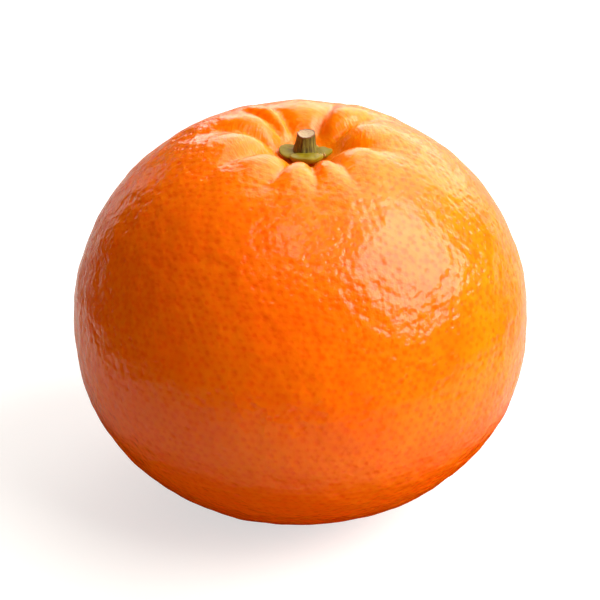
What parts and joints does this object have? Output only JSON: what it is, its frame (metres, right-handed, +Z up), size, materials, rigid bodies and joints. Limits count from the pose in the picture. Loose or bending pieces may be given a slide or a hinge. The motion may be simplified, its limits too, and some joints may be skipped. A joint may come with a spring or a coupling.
{
  "type": "mandarin",
  "caption": "Whole mandarin: a flattened round fruit with shallow ribs round its crown, a green calyx and a cut stub of stem.",
  "frame": {"origin": "centre of the small flat spot at the blossom end, on the surface the fruit rests on", "axes": "+Z up through the crown and the stem; -Y towards the side where the bowl round the stem is widest"},
  "size_m": [0.068, 0.068, 0.0585],
  "materials": {
    "peel": "orange citrus peel, waxy and pebbled with oil glands",
    "calyx": "olive green, thick and slightly waxy sepals",
    "stem": "dry olive-brown bark with a pale cut end"
  },
  "bodies": {
    "root": {"fruit": "peel", "calyx": "calyx", "stem": "stem"}
  },
  "joints": []
}
